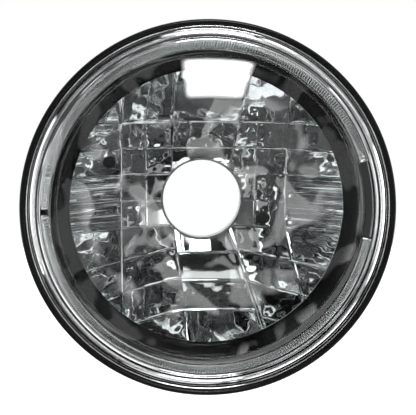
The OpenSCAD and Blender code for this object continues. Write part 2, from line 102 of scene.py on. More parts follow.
def filleted(points, radii, count=6, closed=True):
    """An outline or path with its corners rounded: each corner becomes the quadratic curve
    (1-t)^2 A + 2 t (1-t) P + t^2 B, from A, one radius before the corner P, to B, one radius after it. A radius
    takes up at most 0.48 of the shorter side beside it. An open path keeps its ends."""
    p = np.asarray(points, float)
    back, fore = np.roll(p, 1, axis=0) - p, np.roll(p, -1, axis=0) - p
    back_len = np.linalg.norm(back, axis=1, keepdims=True)
    fore_len = np.linalg.norm(fore, axis=1, keepdims=True)
    r = np.broadcast_to(np.asarray(radii, float).reshape(-1, 1), (len(p), 1))
    r = np.minimum(r, 0.48 * np.minimum(back_len, fore_len))
    a, b = p + back / back_len * r, p + fore / fore_len * r
    if not closed:
        a[0] = b[0] = p[0]
        a[-1] = b[-1] = p[-1]
    t = np.linspace(0.0, 1.0, count)[None, :, None]
    curve = (1 - t) ** 2 * a[:, None] + 2 * t * (1 - t) * p[:, None] + t ** 2 * b[:, None]
    curve = curve.reshape(-1, p.shape[1])
    if not closed:
        curve = curve[count - 1:len(curve) - count + 1]
    return curve


def held(curve, margin):
    """A path with a point added margin inside each end of its long segments, so that the shading of a flat
    stays flat between them."""
    step = np.diff(curve, axis=0)
    size = np.linalg.norm(step, axis=1, keepdims=True)
    share = np.minimum(margin / np.maximum(size, 1e-9), 0.5)
    wide = size[:, 0] > 3 * margin
    rows = np.stack([curve[:-1], curve[:-1] + step * share, curve[1:] - step * share], axis=1)
    keep = np.stack([np.ones_like(wide), wide, wide], axis=1)
    return np.concatenate([rows[keep], curve[-1:]])


def revolved(profile, steps, centre=(0.0, 0.0)):
    """A closed profile of radius against Y, turned round a line along Y:
    (cx + r cos a, y, cz + r sin a). The profile is taken clockwise, so that faces point outwards."""
    r, y = np.asarray(profile, float).T
    if np.sum(r * np.roll(y, -1) - np.roll(r, -1) * y) > 0:
        r, y = r[::-1], y[::-1]
    a = np.linspace(0.0, 2 * np.pi, steps, endpoint=False)[:, None]
    points = rows_of(centre[0] + r * np.cos(a), y, centre[1] + r * np.sin(a))
    return points, [grid_quads(steps, len(r), True, True)]


def tube(path, radius, sides=20):
    """A round wire: the circle (cos b, sin b) carried along a path that lies in a plane of constant Y,
    in the frame of Y and the normal Y x T, with both ends drawn in to a small bevel."""
    p = np.asarray(path, float)
    tangent = np.gradient(p, axis=0)
    tangent /= np.linalg.norm(tangent, axis=1, keepdims=True)
    bevel = np.array([0.0, 0.7, 0.93, 1.0])
    inset = np.array([0.0, 0.0, 0.07, 0.3]) * radius
    head = p[:1] + tangent[:1] * inset[:, None]
    tail = p[-1:] - tangent[-1:] * inset[::-1, None]
    p = np.concatenate([head, p[1:-1], tail])
    tangent = np.concatenate([np.repeat(tangent[:1], 4, 0), tangent[1:-1], np.repeat(tangent[-1:], 4, 0)])
    size = np.concatenate([bevel, np.ones(len(p) - 8), bevel[::-1]]) * radius
    up = np.array([0.0, 1.0, 0.0])
    normal = np.cross(up, tangent)
    b = np.linspace(0.0, 2 * np.pi, sides, endpoint=False)[None, :, None]
    ring = np.cos(b) * normal[:, None] + np.sin(b) * up
    points = p[:, None] + ring * size[:, None, None]
    return points.reshape(-1, 3), [grid_quads(len(p), sides, False, True)[:, ::-1]]


def thickened(points, quads, shift):
    """Closes an open sheet: a copy of it, with each point moved by its row of shift, is turned round and joined to
    it along the free edges."""
    n = len(points)
    edges = np.concatenate([quads[:, [k, (k + 1) % 4]] for k in range(4)])
    free = edges[~np.isin(edges[:, 0] * n + edges[:, 1], edges[:, 1] * n + edges[:, 0])]
    side = np.stack([free[:, 1], free[:, 0], free[:, 0] + n, free[:, 1] + n], axis=1)
    return np.concatenate([points, points + shift]), [quads, quads[:, ::-1] + n, side]


def rounded_box(low, high, radius, count=5):
    """A box with round edges: the core box's corner of each octant, plus radius times the direction
    (cos v cos u, sin v, cos v sin u), with the directions taken octant by octant."""
    low, high = np.asarray(low, float), np.asarray(high, float)
    half = (high - low) / 2 - radius
    quarter = np.linspace(0.0, 0.5, count)
    u = np.concatenate([quarter + 0.5 * k for k in range(4)]) * np.pi
    sx = np.repeat([1.0, -1.0, -1.0, 1.0], count)
    sz = np.repeat([1.0, 1.0, -1.0, -1.0], count)
    v = np.concatenate([[-0.5], quarter - 0.5, quarter, [0.5]]) * np.pi
    sy = np.repeat([-1.0, 1.0], count + 1)
    core = np.ones_like(v)
    core[0] = core[-1] = 0.0
    v, sy, core = v[:, None], sy[:, None], core[:, None]
    x = core * sx * half[0] + radius * np.cos(v) * np.cos(u)
    y = sy * half[1] + radius * np.sin(v)
    z = core * sz * half[2] + radius * np.cos(v) * np.sin(u)
    return rows_of(x, y, z) + (low + high) / 2, [grid_quads(len(v), len(u), False, True)]


def turned(surface, degrees):
    """A surface turned about the optical axis, anticlockwise as the lamp's face is seen."""
    points, faces = surface
    c, s = math.cos(math.radians(degrees)), math.sin(math.radians(degrees))
    x, y, z = points.T
    return rows_of(c * x - s * z, y, s * x + c * z), faces


def smoothstep(x, a, b):
    """0 below a, 1 above b, and 3t^2 - 2t^3 between."""
    t = np.clip((x - a) / (b - a), 0.0, 1.0)
    return t * t * (3 - 2 * t)


def inside(x, low, high, fade):
    """1 between low and high, 0 outside, with soft edges of twice fade."""
    return smoothstep(x, low - fade, low + fade) * smoothstep(-x, -high - fade, -high + fade)


def placed(name, data):
    """A new object at the origin of the scene."""
    obj = bpy.data.objects.new(name, data)
    bpy.context.scene.collection.objects.link(obj)
    return obj


def piece(name, surface, materials, body="lamp", stands_for=(), sharp=32.0, which=None):
    """Puts a surface into a mesh object at the origin, which rides on a body and takes a slot's finish."""
    points, faces = welded(*surface)
    mesh = bpy.data.meshes.new(name)
    mesh.vertices.add(len(points))
    mesh.vertices.foreach_set("co", (points * MM).astype(np.float32).ravel())
    counts = np.concatenate([np.full(len(f), f.shape[1]) for f in faces])
    corners = np.concatenate([f.ravel() for f in faces])
    mesh.loops.add(len(corners))
    mesh.loops.foreach_set("vertex_index", corners.astype(np.int32))
    mesh.polygons.add(len(counts))
    mesh.polygons.foreach_set("loop_start", (np.cumsum(counts) - counts).astype(np.int32))
    mesh.polygons.foreach_set("use_smooth", np.ones(len(counts), dtype=bool))
    for material in materials:
        mesh.materials.append(material)
    mesh.update(calc_edges=True)
    if which is not None:
        centres = np.empty(len(counts) * 3)
        normals = np.empty(len(counts) * 3)
        mesh.polygons.foreach_get("center", centres)
        mesh.polygons.foreach_get("normal", normals)
        index = which(centres.reshape(-1, 3) / MM, normals.reshape(-1, 3))
        mesh.polygons.foreach_set("material_index", index.astype(np.int32))
    mesh.set_sharp_from_angle(angle=math.radians(sharp))
    obj = placed(name, mesh)
    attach(obj, body)
    if stands_for:
        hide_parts(*stands_for)
    return obj


# Sizes and colours that a user would change


def linear(code):
    """An sRGB hex value as linear red, green and blue."""
    channels = [int(code[k:k + 2], 16) / 255 for k in (0, 2, 4)]
    return tuple(c / 12.92 if c <= 0.04045 else ((c + 0.055) / 1.055) ** 2.4 for c in channels)


def length(name, description, value):
    """A length whose default is given in millimetres."""
    return bpy.props.FloatProperty(name=name, description=description, default=value * MM, unit="LENGTH", min=0.0)


def tint(name, description, code):
    """A colour whose default is given as an sRGB hex value."""
    return bpy.props.FloatVectorProperty(
        name=name, description=description, default=linear(code), subtype="COLOR", size=3, min=0.0, max=1.0)


class HeadlightRing(bpy.types.PropertyGroup):
    """Sizes of the stepped ring and its seal"""
    outer_radius: length("Outer Radius", "Radius over the rubber edge seal", 88.9)
    web_front: length("Web Depth", "How far the web's face stands in front of the seat plane", 4.4)


class HeadlightLens(bpy.types.PropertyGroup):
    """Sizes of the pressed glass"""
    rim_radius: length("Rim Radius", "Outer radius of the glass", 82.2)
    dome_radius: length("Dome Radius", "Radius of the dome's edge", 74.5)
    sphere_radius: length("Sphere Radius", "Radius of curvature of the dome's front", 150.0)
    thickness: length("Glass Thickness", "Thickness of the glass in the dome", 3.5)
    rib_height: length("Rib Height", "Height of the fine ribs on the band", 0.34)
    # The real band has about 500 ribs. They are drawn coarser, since finer ones vanish at the picture's size.
    ribs: bpy.props.IntProperty(name="Ribs", description="Number of fine ribs round the band", default=375, min=50)


class HeadlightReflector(bpy.types.PropertyGroup):
    """Sizes of the faceted reflector"""
    focal: length("Focal Length", "Focal length of the bowl", 24.0)
    mouth: length("Mouth Radius", "Radius at which the facets end", 64.8)
    neck: length("Neck Radius", "Radius of the hole for the bulb", 20.25)
    row: length("Row Height", "Height of one row of facets", 12.9)
    side: length("Side Column", "Distance of the outer columns' edges from the axis", 40.0)
    vent: length("Vent Radius", "Radius of the vent hole", 3.05)


class HeadlightFinish(bpy.types.PropertyGroup):
    """Colours of the finishes"""
    chrome: tint("Chrome", "Bright chrome plate", "E4E5E6")
    mirror: tint("Mirror", "Vacuum-deposited aluminium", "DADCDD")
    rubber: tint("Rubber", "Black rubber", "0C0C0D")
    glass: tint("Glass", "Clear pressed glass", "FBFDFC")
    bezel: tint("Bezel", "Black moulded bezel", "08090A")
    casting: tint("Casting", "Bare cast aluminium behind the mirror", "8E9092")
    steel: tint("Steel", "Zinc-plated steel", "B9BBBD")
    wire: tint("Wire", "Bright drawn spring steel", "A8AAAC")


class HeadlightStudio(bpy.types.PropertyGroup):
    """The camera and the light"""
    distance: bpy.props.FloatProperty(
        name="Distance", description="Distance from the camera to the seat plane", default=1.1, unit="LENGTH")
    azimuth: bpy.props.FloatProperty(
        name="Azimuth", description="The camera's angle about Z from the lamp's axis",
        default=math.radians(-3.38), subtype="ANGLE", unit="ROTATION")
    elevation: bpy.props.FloatProperty(
        name="Elevation", description="The camera's angle above the lamp's axis",
        default=math.radians(4.78), subtype="ANGLE", unit="ROTATION")
    frame_width: bpy.props.FloatProperty(
        name="Frame Width", description="Width of the picture at the seat plane", default=0.1967, unit="LENGTH")
    floor_drop: bpy.props.FloatProperty(
        name="Floor Drop", description="Distance of the floor below the axis", default=0.34, unit="LENGTH")
    softbox: bpy.props.FloatProperty(
        name="Softbox", description="Radiance of the softbox above the camera", default=22.0)
    paper: tint("Paper", "Pale floor", "F4F4F3")


# Finishes


def add_node(tree, kind, settings=None, links=None, **attributes):
    """Adds one node, sets its own attributes and its sockets' values, and links sockets into it."""
    node = tree.nodes.new(kind)
    for key, value in attributes.items():
        setattr(node, key, value)
    for key, value in (settings or {}).items():
        node.inputs[key].default_value = value
    for key, socket in (links or {}).items():
        tree.links.new(socket, node.inputs[key])
    return node


def patches(tree, place, scale, detail, rough, low, high, start=0.3, end=0.7, distortion=0.0):
    """A value that wanders from low to high in patches about 1 / scale across: a noise's start..end, drawn out."""
    source = add_node(
        tree, "ShaderNodeTexNoise", {"Scale": scale, "Detail": detail, "Roughness": rough, "Distortion": distortion},
        {"Vector": place})
    return add_node(
        tree, "ShaderNodeMapRange", {"From Min": start, "From Max": end, "To Min": low, "To Max": high},
        {"Value": source.outputs["Fac"]}).outputs["Result"]


def shader_of(material):
    return next(n for n in material.node_tree.nodes if n.type == "BSDF_PRINCIPLED")


def finish(name, colour, haze=None, clouds=None, grain=None, stretch=(1.0, 1.0, 1.0), **sockets):
    """A material with one Principled shader, whose even values are set on its own sockets. Its patterns are noise on
    Object coordinates, and start with the noise's size in mm, detail and roughness. haze goes on with the lowest and
    highest roughness, clouds with the part of the noise that turns one colour into another and both colours, and
    grain, a relief on stretched coordinates, with its depth in mm."""
    material = bpy.data.materials.new(name)
    material.use_nodes = True
    tree = material.node_tree
    shader = shader_of(material)
    shader.inputs["Base Color"].default_value = (*colour, 1.0)
    for key, value in sockets.items():
        shader.inputs[key.replace("_", " ")].default_value = value
    coords = add_node(tree, "ShaderNodeTexCoord").outputs["Object"]
    if haze:
        size, detail, rough, low, high = haze
        tree.links.new(patches(tree, coords, 1 / (size * MM), detail, rough, low, high), shader.inputs["Roughness"])
    if clouds:
        size, detail, rough, start, end, first, second = clouds
        share = patches(tree, coords, 1 / (size * MM), detail, rough, 0.0, 1.0, start, end)
        mix = add_node(tree, "ShaderNodeMix", {6: (*first, 1.0), 7: (*second, 1.0)}, {0: share}, data_type="RGBA")
        tree.links.new(mix.outputs[2], shader.inputs["Base Color"])
    if grain:
        size, detail, rough, depth = grain
        place = add_node(tree, "ShaderNodeMapping", {"Scale": stretch}, {"Vector": coords})
        source = add_node(
            tree, "ShaderNodeTexNoise", {"Scale": 1 / (size * MM), "Detail": detail, "Roughness": rough},
            {"Vector": place.outputs["Vector"]})
        bump = add_node(
            tree, "ShaderNodeBump", {"Strength": 1.0, "Distance": depth * MM}, {"Height": source.outputs["Fac"]})
        tree.links.new(bump.outputs["Normal"], shader.inputs["Normal"])
    return material


def times(colour, factor, more=0.0):
    """A colour made lighter or darker, and kept within 1."""
    return tuple(min(1.0, v * factor + more) for v in colour)


def chrome_plate(c):
    """Chrome plate on pressed steel, polished before plating: a hard mirror, barely dulled by buffing haze
    and by the press's slow waves."""
    return finish(
        "chrome_plate_on_pressed_steel", c.chrome, haze=(9.0, 4.0, 0.5, 0.035, 0.085), grain=(7.0, 2.0, 0.5, 0.02),
        Metallic=1.0, Roughness=0.05)


def aluminised_mirror(c):
    """Aluminium deposited in vacuum on a lacquered casting: a clear mirror with the lacquer's faint flow."""
    return finish(
        "vacuum_aluminised_lacquer", c.mirror, haze=(14.0, 3.0, 0.5, 0.02, 0.06), grain=(5.0, 1.0, 0.5, 0.015),
        Metallic=1.0, Roughness=0.03)


def bare_casting(c):
    """Aluminium as it leaves the die and is shot-blasted: a soft even grey with a fine pitted grain and
    cloudy patches where the metal chilled first."""
    return finish(
        "shot_blasted_cast_aluminium", c.casting, haze=(5.0, 3.0, 0.5, 0.42, 0.6),
        clouds=(16.0, 5.0, 0.6, 0.35, 0.65, times(c.casting, 0.86), times(c.casting, 1.12)),
        grain=(0.9, 3.0, 0.7, 0.05), Metallic=1.0, Roughness=0.5)


def edge_rubber(c):
    """Extruded EPDM: black, with a soft sheen that the die left uneven, and dusty in places."""
    return finish(
        "extruded_epdm_rubber", c.rubber, haze=(12.0, 4.0, 0.5, 0.16, 0.28),
        clouds=(22.0, 5.0, 0.65, 0.5, 0.8, c.rubber, times(c.rubber, 2.0, 0.001)), grain=(0.8, 4.0, 0.6, 0.04),
        Roughness=0.22, IOR=1.5, Specular_IOR_Level=0.15)


def pressed_glass(c):
    """Soda-lime glass pressed in a tool: clear, very slightly uneven, so that reflections waver at their edges."""
    return finish(
        "pressed_soda_lime_glass", c.glass, grain=(18.0, 1.0, 0.5, 0.03), Roughness=0.0, IOR=1.52,
        Transmission_Weight=1.0)


def black_moulding(c):
    """Glossy black ABS: a deep black with a clear, slightly wavy sheen and a little haze from handling."""
    return finish(
        "gloss_black_abs", c.bezel, haze=(14.0, 4.0, 0.5, 0.12, 0.3), grain=(10.0, 2.0, 0.5, 0.05), Roughness=0.16,
        IOR=1.53, Specular_IOR_Level=0.12)


def zinc_plate(c):
    """Zinc-plated pressed steel: a soft metal sheen, mottled by the bath and brushed by the strip it came from."""
    return finish(
        "zinc_plated_pressed_steel", c.steel, haze=(4.0, 5.0, 0.6, 0.22, 0.42), grain=(0.35, 3.0, 0.5, 0.015),
        stretch=(1.0, 1.0, 0.04), Metallic=1.0, Roughness=0.3)


def rivet_steel(c):
    """Upset steel rivets: duller than the plate round them, with the marks of the riveting tool."""
    return finish(
        "upset_rivet_steel", times(c.steel, 0.8), haze=(1.5, 4.0, 0.5, 0.28, 0.45), grain=(0.7, 3.0, 0.5, 0.03),
        Metallic=1.0, Roughness=0.35)


def drawn_wire(c):
    """Bright drawn spring wire: a dark steel sheen with fine lines from the die and oily blotches."""
    return finish(
        "drawn_spring_wire", c.wire, haze=(3.0, 4.0, 0.5, 0.18, 0.38), grain=(0.3, 2.0, 0.5, 0.008), Metallic=1.0,
        Roughness=0.26)


def butyl_sealant(c):
    """Black butyl sealant: matt and slightly lumpy, as it squeezes out of the channel."""
    return finish("butyl_sealant", times(c.rubber, 0.8), grain=(2.2, 3.0, 0.5, 0.12), Roughness=0.7, IOR=1.5)


FINISHES = {}


def material_of(maker):
    """The material that a finish's function makes, made once."""
    if maker.__name__ not in FINISHES:
        FINISHES[maker.__name__] = maker(bpy.context.scene.headlight_finish)
    return FINISHES[maker.__name__]


def dress(node, material):
    """Gives a CAD node a material through its slots, with its mesh left as it is."""
    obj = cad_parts[node]
    for slot in obj.material_slots:
        slot.material = material


# Pieces


RING_STEPS = 360
# The beads and lands of the ring's face, from the seal in: radius against height in front of the web
RING_FACE = [
    (86.4, 0.0), (86.34, 0.1), (85.9, 0.44), (85.76, 0.5), (85.55, 0.42), (85.48, 0.1), (84.52, 0.08), (84.42, 0.14),
    (82.95, 1.2), (82.8, 1.24), (82.72, 1.4), (82.5, 1.58), (82.25, 1.62), (82.0, 1.5), (81.72, 1.2),
    (81.64, 0.12), (80.6, 0.1), (80.5, 0.18), (79.5, 0.92), (79.35, 0.97), (79.2, 0.84), (79.2, 0.0),
]


def ring_surface(ring):
    """The ring's closed profile: its stepped face, the skirt, the turned-in rear lip and the flat shoulder."""
    web = -ring.web_front / MM
    front = held(filleted([(r, web - h) for r, h in RING_FACE], 0.08, 4, closed=False), 0.05)
    rest = filleted(
        [(79.2, -3.2), (86.2, -3.2), (86.2, 8.9), (84.2, 8.9), (84.2, 9.7), (87.0, 9.7), (87.0, 0.6), (86.4, 0.6)],
        0.2, 4)
    return revolved(np.concatenate([front, rest]), RING_STEPS)


def seal_surface(ring):
    """The seal's closed profile: a round nose, a slim waist and a square heel with softened corners."""
    outer = ring.outer_radius / MM
    wide, nose_y = 2.5, -4.75
    inner, round_r = outer - wide, wide / 2
    nose = [(outer - round_r + round_r * math.cos(a), nose_y + round_r * math.sin(a))
            for a in np.linspace(-math.pi, 0.0, 17)]
    rest = [
        (outer - 0.1, -4.0), (outer - 0.7, -3.5), (outer - 0.7, -2.7), (outer, -2.6), (outer, 0.0),
        (inner + 0.6, 0.0), (inner + 0.6, 0.6), (inner, 0.6)]
    return revolved(filleted(nose + rest, 0.14, 4), RING_STEPS)


# Where the smooth pad and the narrow gap lie on the band, in degrees from +X, and steps of the dome round the axis
PAD, GAP = (-11.3, 16.5), (180.0, 183.0)
DOME_STEPS = 250


def lens_surface(lens):
    """The glass: front and back are spheres about one centre, y = c - sqrt(R^2 - r^2), the rim is flat, and
    the band carries ribs with round crests and sharp valleys, height times sqrt(1 - |cos(half the number of ribs
    times the angle)|^2.3), that fade out at both edges, in the narrow gap and on the smooth pad."""
    rim, dome = lens.rim_radius / MM, lens.dome_radius / MM
    sphere, thick, rib = lens.sphere_radius / MM, lens.thickness / MM, lens.rib_height / MM
    rim_y, dome_y, back_y = -2.6, -3.6, 2.5
    centre = dome_y + math.sqrt(sphere ** 2 - dome ** 2)
    coarse, ratio = DOME_STEPS, lens.ribs * 4 // DOME_STEPS
    fine = coarse * ratio
    inner = dome - thick

    front_r = np.concatenate([np.array([74.0, 73.2, 72.0]), np.linspace(70.0, 0.0, 22)])
    back_r = np.concatenate([np.linspace(0.0, inner - 0.6, 20), [inner - 0.2, inner]])
    front = np.stack([front_r, centre - np.sqrt(sphere ** 2 - front_r ** 2)], axis=1)
    back = np.stack([back_r, centre - np.sqrt((sphere - thick) ** 2 - back_r ** 2)], axis=1)
    back[-1, 1] += 0.12
    rear = [(inner, back[-1, 1]), (inner, back_y), (rim, back_y), (rim, rim_y), (79.1, rim_y)]
    rear = filleted(rear, 0.35, 5, closed=False)
    plain = np.concatenate([front, back, rear[1:]])

    # Radii of the band's grid, from the rim in to the dome's edge
    band_r = np.array([78.9, 78.75, 78.6, 78.3, 77.6, 76.8, 76.0, 75.6, 75.35, 75.2, 75.08, 74.98, 74.9, 74.8, 74.7,
                       74.6, 74.5, 74.35])
    step = smoothstep(band_r, 74.45, 75.1)
    dome_front = centre - np.sqrt(sphere ** 2 - np.minimum(band_r, dome) ** 2)
    base = rim_y * step + dome_front * (1 - step)
    window = smoothstep(band_r, 75.15, 75.6) * smoothstep(-band_r, -78.75, -78.4)
    a = np.arange(fine) * (2 * np.pi / fine)
    degrees = np.degrees(a)
    wrapped = (degrees + 180.0) % 360.0 - 180.0
    pad = inside(wrapped, *PAD, 0.15)[:, None]
    ribs = np.sqrt(1 - np.abs(np.cos(0.5 * lens.ribs * a)) ** 2.3) * (1 - inside(degrees, *GAP, 0.1))
    pad_y = -4.0 + 1.4 * smoothstep(band_r, 78.45, 78.85)
    y = (base - rib * window * ribs[:, None]) * (1 - pad) + np.minimum(pad_y, base) * pad
    band_points = rows_of(band_r * np.cos(a)[:, None], y, band_r * np.sin(a)[:, None])

    b = np.arange(coarse)[:, None] * (2 * np.pi / coarse)
    r, y = plain.T
    plain_points = rows_of(r * np.cos(b), y, r * np.sin(b))
    rows, start = len(plain), len(band_points)
    k = np.arange(coarse)[:, None]
    m = np.arange(ratio)[None, :]
    here, there = k * ratio + m, (k * ratio + m + 1) % fine
    columns = len(band_r)
    first, last = start + k * rows, start + k * rows + rows - 1
    next_first = start + (k + 1) % coarse * rows
    next_last = next_first + rows - 1
    turn = ((k + 1) * ratio) % fine
    tris = [
        np.stack(np.broadcast_arrays(here * columns + columns - 1, there * columns + columns - 1, first), -1),
        np.stack(np.broadcast_arrays(turn * columns + columns - 1, next_first, first), -1),
        np.stack(np.broadcast_arrays(last, there * columns, here * columns), -1),
        np.stack(np.broadcast_arrays(last, next_last, turn * columns), -1),
    ]
    quads = [grid_quads(fine, columns, True, False), grid_quads(coarse, rows, True, False) + start]
    return np.concatenate([band_points, plain_points]), quads + [t.reshape(-1, 3) for t in tris]


# The bowl's mouth, as radius and Y, and the wall of its casting
MOUTH, CASTING_WALL = (64.8, 11.0), 3.2


def bezel_surface():
    """The bezel's closed profile: a cone with a fine step near its foot and a rounded front edge."""
    profile = filleted([
        MOUTH, (64.8, 9.9), (65.6, 9.15), (66.1, 9.05), (70.3, 5.5), (70.7, 5.35), (73.0, 3.4), (73.3, 3.0),
        (74.3, 3.0)], 0.22, 5)
    return revolved(profile, RING_STEPS)


def bowl_y(r, focal):
    """The plain bowl: the vertex's Y less r^2 over four focal lengths."""
    return MOUTH[1] + MOUTH[0] ** 2 / (4 * focal) - r ** 2 / (4 * focal)


def casting_back(r, focal):
    """The back of the casting: the plain bowl plus its wall, y + wall sqrt(1 + (r / 2f)^2)."""
    return bowl_y(r, focal) + CASTING_WALL * np.sqrt(1 + (r / (2 * focal)) ** 2)


def facet_layout(reflector):
    """The cells of the reflector as seen from the front. A column edge is (x at z = 0, change of x with z) and
    a row edge (z at x = 0, change of z with x); a zone is a list of each. Its rows lie 0.2 mm under whole row
    heights. Gives each cell's zone, column, row and corners."""
    row, side, far = reflector.row / MM, reflector.side / MM, 67.0
    top_z, side_z, band_z = 3 * row - 0.2, row - 0.2, -row - 0.2
    fan = (10.6, 0.17)
    low_left, low_right = (-15.7, -0.127), (10.5, -0.3)
    low_side = (side + 0.18 * band_z, -0.18)
    rows_left = [(band_z, 0.0)] + [(band_z - 8.7 - k * 14.0, 0.16) for k in range(3)] + [(-far, 0.0)]
    rows_right = [(z, -lean) for z, lean in rows_left]
    flute_rows = [(side_z - k * (side_z - band_z) / 7, 0.0) for k in range(8)]
    upper = [(k * row - 0.2, 0.0) for k in (3, 2, 1)]
    zones = [
        ([(-far, 0), (-side, 0), (-14.8, 0), fan, (side, 0), (far, 0)], [(far, 0), (top_z, 0)]),
        ([(-side, 0), (-27.7, 0), (-14.8, 0), fan, (26.0, 0), (side, 0)],
         [(k * row - 0.2, 0) for k in (3, 2, 1, 0, -1)]),
        ([(-far, 0), (-side, 0)], upper),
        ([(side, 0), (far, 0)], upper),
        ([(-far, 0), (-side, 0), low_left], rows_left),
        ([low_left, (low_left[0] + 2.7, low_left[1]), (8.0, -0.377), low_right], [(band_z, 0), (band_z - row, 0)]),
        ([low_left, (low_right[0] - 1.5, low_right[1]), low_right],
         [(band_z - k * row, 0) for k in (1, 2, 3)] + [(-far, 0)]),
        ([low_right, low_side, (far, 0)], rows_right),
        ([(-far, 0), (-side, 0)], flute_rows),
        ([(side, 0), (far, 0)], flute_rows),
    ]

    def meet(c, r):
        z = (r[0] + r[1] * c[0]) / (1 - r[1] * c[1])
        return c[0] + c[1] * z, z

    cells = []
    for n, (columns, rows) in enumerate(zones):
        for i in range(len(columns) - 1):
            for j in range(len(rows) - 1):
                corners = [meet(columns[i], rows[j + 1]), meet(columns[i + 1], rows[j + 1]),
                           meet(columns[i + 1], rows[j]), meet(columns[i], rows[j])]
                cells.append((n, i, j, np.array(corners)))
    return cells


# The zones from this one on are the flutes at the left and right
FIRST_FLUTE_ZONE = 8
# Facets with a form of their own, by zone, column and row: bend along X and Z, lean outwards, lean round the axis,
# and height of the waves
FACETS = {
    (1, 1, 2): (0.010, 0.006, 0.03, 0.0, 0.012),
    (1, 1, 3): (0.010, 0.006, 0.03, 0.0, 0.012),
    (1, 3, 3): (0.010, 0.006, 0.03, 0.0, 0.012),
    (4, 1, 0): (0.020, 0.020, -0.04, -0.05, 0.03),
    (5, 0, 0): (0.018, 0.012, 0.0, -0.17, 0.0),
    (5, 1, 0): (0.024, 0.010, -0.04, 0.0, 0.004),
    (5, 2, 0): (0.018, 0.012, 0.05, 0.3, 0.0),
    (6, 0, 0): (0.010, 0.012, -0.02, 0.0, 0.006),
    (6, 0, 1): (0.012, 0.012, 0.08, 0.0, 0.03),
}
# A tile's rounded edge, its thickness, how far its face may lie behind the plain bowl, and the room that it leaves
# in front of the casting's back
TILE_EDGE, TILE_WALL, TILE_SINK, TILE_ROOM = 0.45, 2.0, 2.2, 0.5


def facet_tile(n, i, j, corners, reflector):
    """One facet as a closed tile. Its face is the bowl's tangent plane at the middle, bent by its own two
    curvatures, leaned a little, with the tool's slow waves and a rounded edge:
    y = bowl(c) + depth - c.d / 2f - (kx dx^2 + kz dz^2) / 2 + lean.d + waves + edge.
    Where FACETS gives no form, curvatures, lean and waves come from sines of the facet's own phase. A tile that
    would lie too far behind the bowl moves forward as a whole, and its back stays inside the casting. The grid's
    points beyond the mouth, in the neck or in the vent are drawn to its edge."""
    focal, mouth, hole = reflector.focal / MM, reflector.mouth / MM, reflector.neck / MM
    within = corners * np.minimum(1.0, (mouth - 5.0) / np.linalg.norm(corners, axis=1))[:, None]
    cx, cz = within.mean(axis=0)
    width = max(np.linalg.norm(corners[1] - corners[0]), 1.0)
    height = max(np.linalg.norm(corners[3] - corners[0]), 1.0)
    flute = n >= FIRST_FLUTE_ZONE
    cols, rows = 24, 12 if flute else 24

    def ladder(count, size):
        inner = np.linspace(TILE_EDGE, size - TILE_EDGE, count - 4) / size
        return np.concatenate([[0.0, 0.18 / size], inner, [1 - 0.18 / size, 1.0]])

    u, v = ladder(cols, width)[:, None], ladder(rows, height)[None, :]
    bottom = corners[0] * (1 - u)[..., None] + corners[1] * u[..., None]
    top = corners[3] * (1 - u)[..., None] + corners[2] * u[..., None]
    p = bottom * (1 - v)[..., None] + top * v[..., None]
    edge = np.minimum(np.minimum(u, 1 - u) * width, np.minimum(v, 1 - v) * height)
    r = np.linalg.norm(p, axis=-1)
    beyond, in_neck = r > mouth, r < hole
    p = p * np.where(beyond, mouth / r, np.where(in_neck, hole / np.maximum(r, 1e-6), 1.0))[..., None]
    vent = np.array(vent_place(reflector))
    away = p - vent
    gap = np.linalg.norm(away, axis=-1)
    vent_r = reflector.vent / MM
    in_vent = gap < vent_r
    p = np.where(in_vent[..., None], vent + away * (vent_r / np.maximum(gap, 1e-6))[..., None], p)

    x, z = p[..., 0], p[..., 1]
    dx, dz = x - cx, z - cz
    depth = 0.55 + (0.28 * (j % 2) if flute else 0.3 * ((n + i + 2 * j) % 3))
    phase = 1.7 * n + 2.3 * i + 3.1 * j
    kx, kz = 0.021 + 0.026 * math.sin(phase * 1.3), 0.021 + 0.026 * math.cos(phase * 1.9)
    out, turn, wave = 0.05 * math.sin(phase * 2.1), 0.05 * math.cos(phase * 1.1), 0.09
    if flute:
        kx, kz, wave = 0.02 + 0.015 * math.sin(phase), 0.17, 0.03
        out, turn = 0.08 * math.cos(phase * 1.7), 0.06 * math.sin(phase * 2.7)
    kx, kz, out, turn, wave = FACETS.get((n, i, j), (kx, kz, out, turn, wave))
    r_mid = math.hypot(cx, cz)
    ux, uz = cx / r_mid, cz / r_mid
    tilt_x, tilt_z = out * ux - turn * uz, out * uz + turn * ux
    waves = wave * (np.sin(0.62 * dx + 0.35 * dz + phase) * np.cos(0.5 * dz - 0.21 * dx + 1.9 * phase)
                    + 0.4 * np.sin(1.15 * dx - 0.7 * dz + 2.6 * phase) * np.sin(0.95 * dz + 0.4 * dx + phase)
                    + 0.12 * np.sin(1.9 * dx + 1.2 * dz + 3.7 * phase) * np.sin(1.7 * dz - 0.8 * dx + 0.7 * phase))
    y = (bowl_y(r_mid, focal) + depth - (cx * dx + cz * dz) / (2 * focal)
         - (kx * dx ** 2 + kz * dz ** 2) / 2 + tilt_x * dx + tilt_z * dz + waves
         + 0.16 * (1 - np.clip(edge / TILE_EDGE, 0.0, 1.0)) ** 2)
    r = np.hypot(x, z)
    y = y - max(0.0, (y - bowl_y(r, focal)).max() - TILE_SINK)
    back = np.minimum(TILE_WALL, casting_back(r, focal) - TILE_ROOM - y)
    quads = grid_quads(cols, rows, False, False)
    lost = (beyond | in_neck | in_vent).ravel()[quads].all(axis=1)
    quads = quads[~lost]
    if not len(quads):
        return None
    return thickened(rows_of(x, y, z), quads, back.reshape(-1, 1) * (0.0, 1.0, 0.0))


# Y of the vent boss's back
VENT_BACK = 40.0


def vent_place(reflector):
    """The vent hole's X and Z: outside the left column, one and a half rows up."""
    return -reflector.side / MM - 5.9, 1.53 * reflector.row / MM


